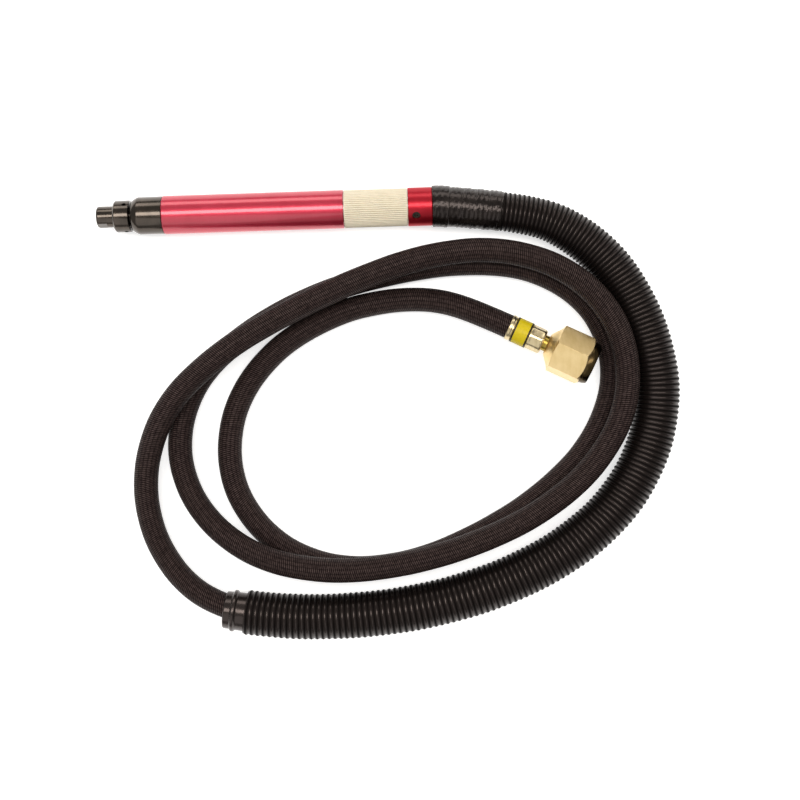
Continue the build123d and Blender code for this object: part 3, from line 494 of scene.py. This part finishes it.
M = {
    "black_oxide": turned_metal("black_oxide", (0.032, 0.023, 0.016), (0.088, 0.067, 0.05), 0.19,
                                line_depth=1.5e-6, Coat_Weight=0.5, Coat_Roughness=0.14, Coat_IOR=1.65),
    "spring_steel": turned_metal("spring_steel", grey(0.3), grey(0.5), 0.32),
    "bright_steel": turned_metal("bright_steel", grey(0.5), grey(0.72), 0.22),
    "sintered_iron": turned_metal("sintered_iron", grey(0.2), grey(0.36), 0.5, line_depth=6e-6),
    "bare_aluminium": turned_metal("bare_aluminium", grey(0.6), grey(0.8), 0.3),
    "brass_fitting": turned_metal("brass_fitting", (0.28, 0.19, 0.03), (0.46, 0.33, 0.08), 0.3),
    "swivel_brass": turned_metal("swivel_brass", (0.74, 0.54, 0.24), (0.93, 0.72, 0.38), 0.36, lines=300,
                                 line_depth=3e-6),
    # The nut's front end: its dark colour is painted shade and dark reflection of the nut's mouth.
    "painted_shade_end": turned_metal("painted_shade_end", (0.02, 0.013, 0.006), (0.13, 0.088, 0.036), 0.25),
    "plated_steel": turned_metal("plated_steel", (0.5, 0.4, 0.22), (0.78, 0.66, 0.42), 0.3, lines=900,
                                 line_depth=1e-6),
    "seal_rubber": soft_matter("seal_rubber", grey(0.012), grey(0.03), 0.6, 900, 2e-5),
    "felt": soft_matter("felt", (0.2, 0.18, 0.14), (0.4, 0.37, 0.31), 0.9, 2200, 1e-4),
    "laminate": soft_matter("laminate", (0.12, 0.06, 0.03), (0.3, 0.17, 0.09), 0.55, 1200, 3e-5),
    "red_anodised": anodised("red_anodised", (0.5, 0.024, 0.052), (0.6, 0.04, 0.078), 0.38, 0.9),
    "red_anodised_collar": anodised("red_anodised_collar", (0.38, 0.01, 0.02), (0.46, 0.016, 0.03), 0.36,
                                    0.16),
    "cream_plastic": cream_plastic("cream_plastic"),
    "black_tape": vinyl_tape("black_tape"),
    "black_corrugated": corrugated("black_corrugated"),
    "black_cuff": black_plastic("black_cuff", (0.008, 0.0062, 0.0056), 0.2, 400.0, 4e-5, shine=0.6),
    "braided_cover": braid("braided_cover"),
    "yellow_band": yellow_band("yellow_band"),
    "black_ink": black_plastic("black_ink", (0.006, 0.006, 0.005), 0.45, 700.0, 1e-5),
}
LOOK = {
    "collet": "spring_steel", "nose_o_ring": "seal_rubber", "nose_seal": "felt", "slinger": "bright_steel",
    "front_bearing_cage": "laminate", "rear_bearing_cage": "laminate", "rotor": "spring_steel",
    "rotor_vanes": "laminate", "front_end_plate": "sintered_iron", "motor_cylinder": "sintered_iron",
    "rear_end_plate": "sintered_iron", "preload_washer": "spring_steel", "valve_body": "bare_aluminium",
    "valve_o_rings": "seal_rubber", "collar_set_screw": "black_oxide", "exhaust_spigot": "bare_aluminium",
    "inlet_adapter": "brass_fitting", "swivel_stem": "brass_fitting",
    "swivel_retaining_wire": "spring_steel",
}
for node, piece in NODES.items():
    look = M[LOOK.get(node, "bright_steel")]
    for place in piece.material_slots:
        place.material = look
    if not piece.material_slots:
        piece.data.materials.append(look)


# ---------------------------------------------------------------- the overhose and its cuff

# Each row: a distance along the overhose, and there the ridges' spacing or the crests' radius.
RIDGE_PITCHES = ((0, 2.2), (65, 2.26), (105, 2.38), (145, 2.45), (185, 2.53), (225, 2.62), (265, 2.74),
                 (305, 2.82), (345, 2.88), (422, 2.86))
CREST_SIZES = ((0, 9.5), (32, 9.6), (49, 9.85), (63, 10.2), (85, 10.65), (120, 10.9), (175, 11.05),
               (215, 11.4), (255, 11.6), (300, 11.55), (350, 11.4), (422, 11.05))
RIDGE_DEPTH, RINGS_PER_RIDGE, OVERHOSE_COLUMNS = 0.55, 8, 64
FLOOR_FLAT = 10.35  # the overhose is pressed flat this far below its line, where it rests
BORE_START, BORE_GROWTH, BORE_RUN = 7.3, 1.0, 120  # its plain bore widens over the first stretch
overhose_end = overhose_line.length
ridge_places = np.linspace(0, overhose_end, 4001)
ridge_steps = 1 / np.interp(ridge_places, *zip(*RIDGE_PITCHES))
ridge_counts = np.concatenate([[0], np.cumsum((ridge_steps[1:] + ridge_steps[:-1]) / 2)]) * ridge_places[1]


def ridge_count(s):
    """How many ridges lie between the overhose's start and a distance along it."""
    return np.interp(s, ridge_places, ridge_counts)


def overhose_radius(s, angle):
    """The corrugated outside: wide round crests and narrow grooves, which end just inside the cuff."""
    crest = np.interp(s, *zip(*CREST_SIZES))
    groove = (0.5 - 0.5 * np.cos(2 * math.pi * ridge_count(s))) ** 1.2
    wobble = 0.05 * np.sin(s * 0.21 + 2 * angle) + 0.04 * np.sin(s * 0.077 - 3 * angle + 1)
    ends = np.minimum(1, np.maximum(0, (overhose_end - s) / 1.4))
    return crest - RIDGE_DEPTH * (1 - (1 - groove) * ends) + wobble


def overhose_bore(s, angle):
    """The plain inside of the overhose, which widens at first."""
    return BORE_START + BORE_GROWTH * np.clip(s / BORE_RUN, 0, 1) + 0 * angle


stations = np.interp(np.arange(0, ridge_counts[-1], 1 / RINGS_PER_RIDGE), ridge_counts, ridge_places)
outside = overhose_line.tube(stations, overhose_radius, OVERHOSE_COLUMNS, flatten=FLOOR_FLAT)
inside = overhose_line.tube(stations[::-RINGS_PER_RIDGE], overhose_bore, OVERHOSE_COLUMNS)
ridge_marks = np.concatenate([ridge_count(stations), np.zeros(len(inside) + 1)])
skin = grid_mesh("overhose_skin", np.concatenate([outside, inside]), closed_rows=True, uv=ridge_marks)
skin = split_edges(skin, 60)
overhose = put("overhose_skin", skin, M["black_corrugated"], "tool", ["exhaust_overhose"])

cuff_axes = tuple(Vector(v[0]) for v in overhose_line.axes(overhose_end))
cuff_outline = rounded(
    (-1.5, 8.35), (-1.5, 9.3, 0.2), (0.1, 9.5, 0.3), (4.1, 9.4, 0.4), (4.6, 10.0, 0.3),
    (5.0, 10.35, 0.3), (6.2, 10.35, 0.4), (6.9, 9.3, 0.3), (10.1, 9.15, 0.5), (10.4, 8.4, 0.2),
)
cuff = turned("overhose_cuff_moulding", cuff_axes, cuff_outline, M["black_cuff"], "tool", ["overhose_cuff"],
              128)

# ---------------------------------------------------------------- the braided air hose

HOSE_R, HOSE_STEP = 6.0, 2.5
hose_stations = np.linspace(0, hose_line.length, int(hose_line.length / HOSE_STEP) + 1)


def hose_radius(s, angle):
    """The braid's outside, a little uneven."""
    return HOSE_R + 0.03 * np.sin(s * 0.05 + angle * 2) + 0.02 * np.sin(s * 0.31 + angle * 5)


hose_rings = hose_line.tube(hose_stations, hose_radius, 48, flatten=HOSE_R)
hose_mesh = grid_mesh("braided_hose", hose_rings, uv=hose_stations)
hose = put("braided_hose", hose_mesh, M["braided_cover"], "tool", ["air_hose"])

# ---------------------------------------------------------------- the fitting on the hose's end

fit_origin = Vector(hose_line.at(hose_line.length)[0])
fit_along = (Vector(HOSE_POINTS[-1]) - Vector(HOSE_POINTS[-2])).normalized()
fit_side = fit_along.cross(Vector((0, 0, 1))).normalized()
fit_up = fit_side.cross(fit_along)
FIT = (fit_origin, fit_along, fit_side, fit_up)
CRIMP_START, CRIMP_END, CRIMP_APOTHEM = 11.4, 17.6, 6.04
FERRULE_BORE_LIMIT = 5.0


def crimped(s, r, angles):
    """Eight shallow lengthwise flats, pressed in by the crimping jaws; the bore stays round."""
    if r < FERRULE_BORE_LIMIT or s < CRIMP_START or s > CRIMP_END:
        return np.full(len(angles), r)
    turn_angle = (angles % (math.pi / 4)) - math.pi / 8
    flat = CRIMP_APOTHEM / np.cos(turn_angle)
    blend = min(1, (s - CRIMP_START) / 0.8, (CRIMP_END - s) / 0.6)
    return r + blend * (np.minimum(r, flat) - r)


ferrule_outline = rounded(
    (0, 5.85), (-0.1, 6.35, 0.2), (0.2, 6.55, 0.2), (1.4, 6.5, 0.1), (1.7, 6.3, 0.1), (2.3, 6.3, 0.1),
    (2.5, 6.2), (10.9, 6.2), (11.0, 6.3, 0.05), (11.4, 6.32), (11.9, 6.32), (12.4, 6.32), (13.2, 6.3),
    (14.5, 6.3), (16, 6.3), (16.9, 6.3), (17.3, 6.3), (17.6, 6.25, 0.1), (18.4, 5.95, 0.3),
    (18.6, 5.3, 0.2), (18.6, 4.05), (16.9, 4.05), (16.9, 5.85),
)
ferrule = turned("crimped_ferrule", FIT, ferrule_outline, M["plated_steel"], "tool", ["hose_ferrule"],
                 128, crimped)
tag_outline = rounded(
    (2.55, 6.25), (2.55, 6.52, 0.08), (3.05, 6.56), (10.4, 6.56), (10.9, 6.52, 0.08), (10.9, 6.25),
)
tag = turned("yellow_tag", FIT, tag_outline, M["yellow_band"], "tool", ["hose_tag"], 96)
INK_WIDTH, INK_INSIDE, INK_OUTSIDE = 0.9, 6.4, 6.585
for number, start in enumerate((2.62, 9.93)):
    end = start + INK_WIDTH
    line_outline = [(start, INK_INSIDE), (start, INK_OUTSIDE), (end, INK_OUTSIDE), (end, INK_INSIDE)]
    turned(f"tag_edge_line_{number}", FIT, line_outline, M["black_ink"], "tool",
           count=96)

HEX_TURN, HEX_APOTHEM, HEX_SOFT, HEX_CORNER = math.radians(7.0), 11.1, 0.12, 12.84
STEM_HOLE_LIMIT, MOUTH_LIMIT = 4.6, 9.6
THREAD_PITCH, THREAD_DEPTH, THREAD_R, NUT_FACE = 1.41, 0.55, 7.75, 42.12


def hexagon(s, r, angles):
    """A turned blank milled to a hexagon with soft edges; the stem's hole and the mouth stay round."""
    if r < STEM_HOLE_LIMIT or (r < MOUTH_LIMIT and s > 26):
        return np.full(len(angles), r)
    turn_angle = ((angles - math.pi / 2 - HEX_TURN) % (math.pi / 3)) - math.pi / 6
    flat = HEX_APOTHEM / np.cos(turn_angle)
    near_edge = np.clip(1 - np.abs(r - flat) / HEX_SOFT, 0, 1)
    return np.minimum(r, flat) - near_edge * near_edge * HEX_SOFT / 4


def thread_bore(s, r, angles):
    """A shallow cut thread in the mouth of the nut."""
    wave = np.abs(((s / THREAD_PITCH - angles / (2 * math.pi)) % 1.0) - 0.5) * 2
    return r + THREAD_DEPTH * wave


def nut_shape(s, r, angles):
    """The thread inside the mouth, and the hexagon outside."""
    if 7.6 < r < 8.3 and 29.9 < s < 45.2:
        return thread_bore(s, THREAD_R, angles)
    return hexagon(s, r, angles)


# From the stem's hole over the tapered back, the six flats and the chamfer to the mouth, then back inside.
nut_outline = [(20.6, 4.12), (20.6, 4.9), (20.75, 5.3), (21.4, 6.3), (22.3, 7.5), (23.2, 8.6), (23.9, 9.45),
               (24.5, 10.3), (24.9, 10.95)]
nut_outline += [(s, 10.95 + (s - 24.9) * 3.2) for s in (25.0, 25.1, 25.2, 25.3, 25.4, 25.5)]
nut_outline += [(s, HEX_CORNER) for s in np.linspace(25.7, 40.8, 13)]
nut_outline += [(s, 12.95 - (s - 40.9) * 1.55) for s in (41.0, 41.2, 41.4, 41.6, 41.8, 42.0, 42.1)]
nut_outline += [(42.15, 10.8), (42.3, 10.85), (44.2, 10.5), (45.4, 10.1), (45.9, 9.6), (45.9, 8.6)]
nut_outline += [(45.2, 7.95)]
nut_outline += [(s, 7.9) for s in np.linspace(45.1, 30.0, 87)]
nut_outline += [(29.8, 6.95), (25.7, 6.95), (25.7, 4.12)]
nut = turned("swivel_hex_nut", FIT, nut_outline, M["swivel_brass"], "swivel", ["swivel_nut"],
             360, nut_shape)
# Faces past NUT_FACE take the dark end material, painted shade and dark reflection on the nut's front end.
nut.data.materials.append(M["painted_shade_end"])
for polygon in nut.data.polygons:
    along_nut = (polygon.center / MM - fit_origin).dot(fit_along)
    if along_nut > NUT_FACE:
        polygon.material_index = 1

# ---------------------------------------------------------------- the tool

TOOL, NOSE, CHUCK, CAP = (tool_frame(x) for x in (0, NOSE_X, CHUCK_X, CAP_X))

collet_nut_length = NUT_END - NOSE_X
collet_nut_outline = rounded(
    (0, 2.75, 0.15), (0, NUT_R, 0.9), (collet_nut_length, NUT_R, 0.15), (collet_nut_length, 4.3),
    (2.15, 4.3), (0.6, 2.75),
)
# Extra rings along the flats, put in after the two rounded front corners of five points each.
collet_nut_outline[10:10] = [(s, NUT_R) for s in (1.2, 2.4, 3.6, 4.9, 5.0, 5.05)]
FLATS_END, FLATS_APOTHEM, FLATS_TURN, NUT_BORE_LIMIT = 5.02, 4.7, math.radians(15), 4.4


def spanner_flats(s, r, angles):
    """Two flats for a spanner on the front of the collet nut."""
    if r < NUT_BORE_LIMIT or s > FLATS_END:
        return np.full(len(angles), r)
    reach = np.abs(np.cos(angles + FLATS_TURN))
    return np.minimum(r, FLATS_APOTHEM / np.maximum(reach, 0.2))


turned("collet_nut_turned", NOSE, collet_nut_outline, M["black_oxide"], "collet_nut", ["collet_nut"],
       144, spanner_flats)

chuck_length = CHUCK_END - CHUCK_X
chuck_outline = rounded(
    (-6.1, 2.98), (-6.1, 4.2, 0.2), (0, 4.2), (0, CHUCK_R - 0.8, 0.15), (0.8, CHUCK_R, 0.25),
    (chuck_length, CHUCK_R, 0.3), (chuck_length, 4.5, 0.2), (chuck_length + 2.6, 4.5, 0.2),
    (chuck_length + 2.6, 3.02), (chuck_length - 3.0, 3.02), (chuck_length - 3.0, 0),
    (chuck_length - 3.6, 0), (chuck_length - 3.6, 2.6), (-1.6, 2.6),
)
chuck = turned("chuck_turned", CHUCK, chuck_outline, M["black_oxide"], "spindle", ["chuck_body"],
               128)
BAR_HOLE_TURNS = (51.5, 171.5, 291.5)
cut_with(chuck, *[radial_cylinder(CHUCK_END - 2.0, turn, 1.0, 5.4, 9.0) for turn in BAR_HOLE_TURNS])

cap_length = HOUSING_X - CAP_X
CURVE_LENGTH, CURVE_DROP = 3.5, 2.0  # the nose cap's rounded front
cap_outline = [(0, 5.1), (0, CAP_R - 2.15)]
for t in np.linspace(0, 1, 9):
    cap_outline.append((CURVE_LENGTH * t, CAP_R - CURVE_DROP * (1 - t) + t * (1 - t)))
cap_outline += rounded(
    (4.2, CAP_R), (cap_length - 0.12, CAP_R, 0.2), (cap_length - 0.02, 8.2), (SKIRT_END - CAP_X, 8.2),
    (SKIRT_END - CAP_X, 6.4), (3.2, 6.4), (3.2, 4.9), (0.2, 4.9, 0.1),
)
turned("nose_cap_turned", CAP, cap_outline, M["black_oxide"], "tool", ["nose_cap"], 160)

housing_outline = rounded(
    (HOUSING_X, 8.25), (HOUSING_X, BODY_R - 0.35, 0.08), (HOUSING_X + 0.4, BODY_R, 0.1),
    (HOUSING_X + 50, BODY_R), (THROTTLE_X - 0.25, BODY_R, 0.12), (THROTTLE_X, BODY_R - 0.2, 0.1),
    (THROTTLE_X, 8.25),
)
turned("housing_turned", TOOL, housing_outline, M["red_anodised"], "tool", ["motor_housing"],
       192)

collar_outline = rounded(
    (COLLAR_X, 6.45), (COLLAR_X, BODY_R - 0.2, 0.1), (COLLAR_X + 0.2, BODY_R, 0.12),
    (BAND_X - 0.2, BODY_R, 0.12), (BAND_X, BODY_R - 0.2, 0.1), (BAND_X, 8.15), (BAND_X - 3.5, 8.15),
    (BAND_X - 3.5, 6.45),
)
collar = turned("collar_turned", TOOL, collar_outline, M["red_anodised_collar"], "tool", ["rear_collar"],
                160)
SCREW_TURN, SCREW_HOLE_R = 127, 2.08
cut_with(collar, radial_cylinder(COLLAR_X + 4.0, SCREW_TURN, SCREW_HOLE_R, 6.6, 11.0))

RIBS, RIB_DEPTH, RING_BORE_LIMIT = 54, 0.34, 8.9
ring_start, ring_end = span("throttle_ring")
ring_length = ring_end - ring_start


def ribbed(s, r, angles):
    """Round-topped lengthwise ribs, fading out just short of both ends; the bore stays round."""
    if r < RING_BORE_LIMIT:
        return np.full(len(angles), r)
    wave = 0.5 + 0.5 * np.cos(angles * RIBS)
    groove = (1 - wave) ** 1.6
    fade = min(1, max(0, (s - 0.2) / 0.5), max(0, (ring_length - 0.2 - s) / 0.5))
    return r - RIB_DEPTH * groove * fade


EDGE_DROPS = ((0.0, 0.4), (0.05, 0.2), (0.2, 0.08), (0.4, 0.03), (0.7, 0))
ring_edge = [(s, RING_R - drop) for s, drop in EDGE_DROPS]
ring_outline = [(0, 7.7)] + ring_edge
ring_outline += [(s, RING_R) for s in np.linspace(3.3, ring_length - 3.3, 6)]
ring_outline += [(ring_length - s, r) for s, r in reversed(ring_edge)] + [(ring_length, 7.7)]
turned("throttle_ring_ribbed", tool_frame(ring_start), ring_outline, M["cream_plastic"], "throttle",
       ["throttle_ring"], RIBS * 12, ribbed)

# ---------------------------------------------------------------- the tape

TAPE_START = BAND_X
BAND_END = TAPE_START + 8.5
SLEEVE_END = TAPE_END - 0.1
TAPE_BORE, TAPE_EDGE, SLEEVE_R, WRAP_R = 9.0, 9.3, 9.72, 9.98
FIRST_LAP, SECOND_LAP = 6.4, 9.1  # how far each layer of tape moves on in a turn


def smoothstep(x):
    """A soft step from 0 to 1."""
    x = np.clip(x, 0, 1)
    return x * x * (3 - 2 * x)


def tape_radius(x, angle):
    """Tape wound in two layers, where each turn's edge is a small step that winds round the sleeve. The
    overhose's ridges press through it, and a thicker band of tape goes round the front."""
    turn_share = angle / (2 * math.pi)
    lap = ((x - TAPE_START) / FIRST_LAP - turn_share) % 1.0
    step = 0.24 * (1 - lap) * smoothstep(lap / 0.05)
    second = ((x - TAPE_START) / SECOND_LAP + turn_share + 0.3) % 1.0
    step = step + 0.12 * (1 - second) * smoothstep(second / 0.06)
    ridges = 0.1 * np.cos(2 * math.pi * ridge_count(x - HOSE_X)) * smoothstep((x - BAND_END - 2) / 6)
    crinkle = 0.05 * np.sin(3 * angle + x * 0.9) * np.sin(x * 1.7 + 2 * angle)
    crinkle = crinkle + 0.03 * np.sin(11 * angle - x * 2.3)
    sleeve = SLEEVE_R + step + ridges + crinkle
    band_lap = 0.2 * smoothstep(((turn_share + 0.18) % 1.0) / 0.02)
    band = WRAP_R + band_lap + 0.6 * step + crinkle
    edge = BAND_END + 0.25 * np.sin(2 * angle + 0.5)
    mix = smoothstep((edge - x) / 0.35)
    radius = sleeve * (1 - mix) + band * mix
    ragged_end = SLEEVE_END + 0.3 * np.sin(3 * angle)
    ends = smoothstep((x - TAPE_START) / 0.25) * smoothstep((ragged_end - x) / 0.3)
    return np.minimum(TAPE_EDGE + (radius - TAPE_EDGE) * ends, BAND_R - 0.01)


tape_route = Route(np.concatenate([[(TAPE_START, 0, AXIS_Z)], overhose_line.line]))
tape_stations = np.linspace(0, SLEEVE_END - TAPE_START, 176)
tape_rings = tape_route.tube(tape_stations, lambda s, a: tape_radius(s + TAPE_START, a), 168)
tape_inside = tape_route.tube(tape_stations[::-25], lambda s, a: TAPE_BORE + 0 * s + 0 * a, 168)
tape_mesh = grid_mesh("wound_tape", np.concatenate([tape_rings, tape_inside]), closed_rows=True)
tape_mesh = split_edges(tape_mesh, 50)
put("wound_tape", tape_mesh, M["black_tape"], "tool", ["tape_wrap"])


# ---------------------------------------------------------------- floor, light and camera

FLOOR_HALF, FLOOR_GLOW = 4, 0.6


def floor_material():
    """Pale floor that the camera sees near white, with the object's shadow on it."""
    made = Maker("floor", (0.8, 0.8, 0.8), 0.7, Specular_IOR_Level=0.1)
    rays = made.node("LightPath")
    mirrored = made.math("MAXIMUM", rays.outputs["Is Glossy Ray"], rays.outputs["Is Transmission Ray"])
    seen = made.math("MAXIMUM", rays.outputs["Is Camera Ray"], mirrored)
    glow = made.node("Emission", {"Color": (1, 1, 1, 1), "Strength": FLOOR_GLOW})
    both = made.node("AddShader", {0: made.bsdf.outputs[0], 1: glow.outputs[0]})
    mix = made.node("MixShader", {0: seen, 1: made.bsdf.outputs[0], 2: both.outputs[0]})
    output = made.tree.nodes["Material Output"]
    made.tree.links.new(mix.outputs[0], output.inputs["Surface"])
    return made.mat


floor_mesh = bpy.data.meshes.new("floor")
corners = ((-1, -1), (1, -1), (1, 1), (-1, 1))
floor_mesh.from_pydata([(FLOOR_HALF * x, FLOOR_HALF * y, 0) for x, y in corners], [], [(0, 1, 2, 3)])
floor = bpy.data.objects.new("floor", floor_mesh)
bpy.context.collection.objects.link(floor)
floor_mesh.materials.append(floor_material())


def softbox(name, place, size, power, color=(1, 1, 1)):
    """A rectangular lamp that faces the object."""
    lamp = bpy.data.lights.new(name, "AREA")
    lamp.shape = "RECTANGLE"
    lamp.size, lamp.size_y = size
    lamp.energy = power
    lamp.color = color
    made = bpy.data.objects.new(name, lamp)
    made.location = place
    made.rotation_euler = (AIM - Vector(place)).to_track_quat("-Z", "Y").to_euler()
    bpy.context.collection.objects.link(made)


AIM = Vector((0.04, -0.09, 0))
WARM = (1, 0.97, 0.93)
softbox("key", (0.04, 0.05, 1.25), (1.6, 0.4), 12, WARM)
softbox("fill", (-0.55, -0.95, 1.0), (1.2, 1.2), 3.2)
softbox("rim", (0.04, 1.15, 0.6), (1.6, 0.45), 5.5, WARM)

WORLD_STRENGTH = 0.33
world = bpy.data.worlds.new("studio")
bpy.context.scene.world = world
world.use_nodes = True
background = world.node_tree.nodes["Background"]
background.inputs["Color"].default_value = (1, 0.985, 0.96, 1)
background.inputs["Strength"].default_value = WORLD_STRENGTH

# The camera looks straight down, as in the photograph, and is rolled a little.
CAMERA_PLACE = ((HOSE_X - 21.6) * MM, -0.0962, 0.575)
CAMERA_ROLL = math.radians(-1.9)
LENS = 50.85
camera_data = bpy.data.cameras.new("camera")
camera_data.lens = LENS
camera_data.sensor_width = 36
camera_data.clip_start = 0.01
camera = bpy.data.objects.new("camera", camera_data)
camera.location = CAMERA_PLACE
camera.rotation_euler = (0, 0, CAMERA_ROLL)
bpy.context.collection.objects.link(camera)
bpy.context.scene.camera = camera
bpy.context.scene.view_settings.view_transform = "Standard"
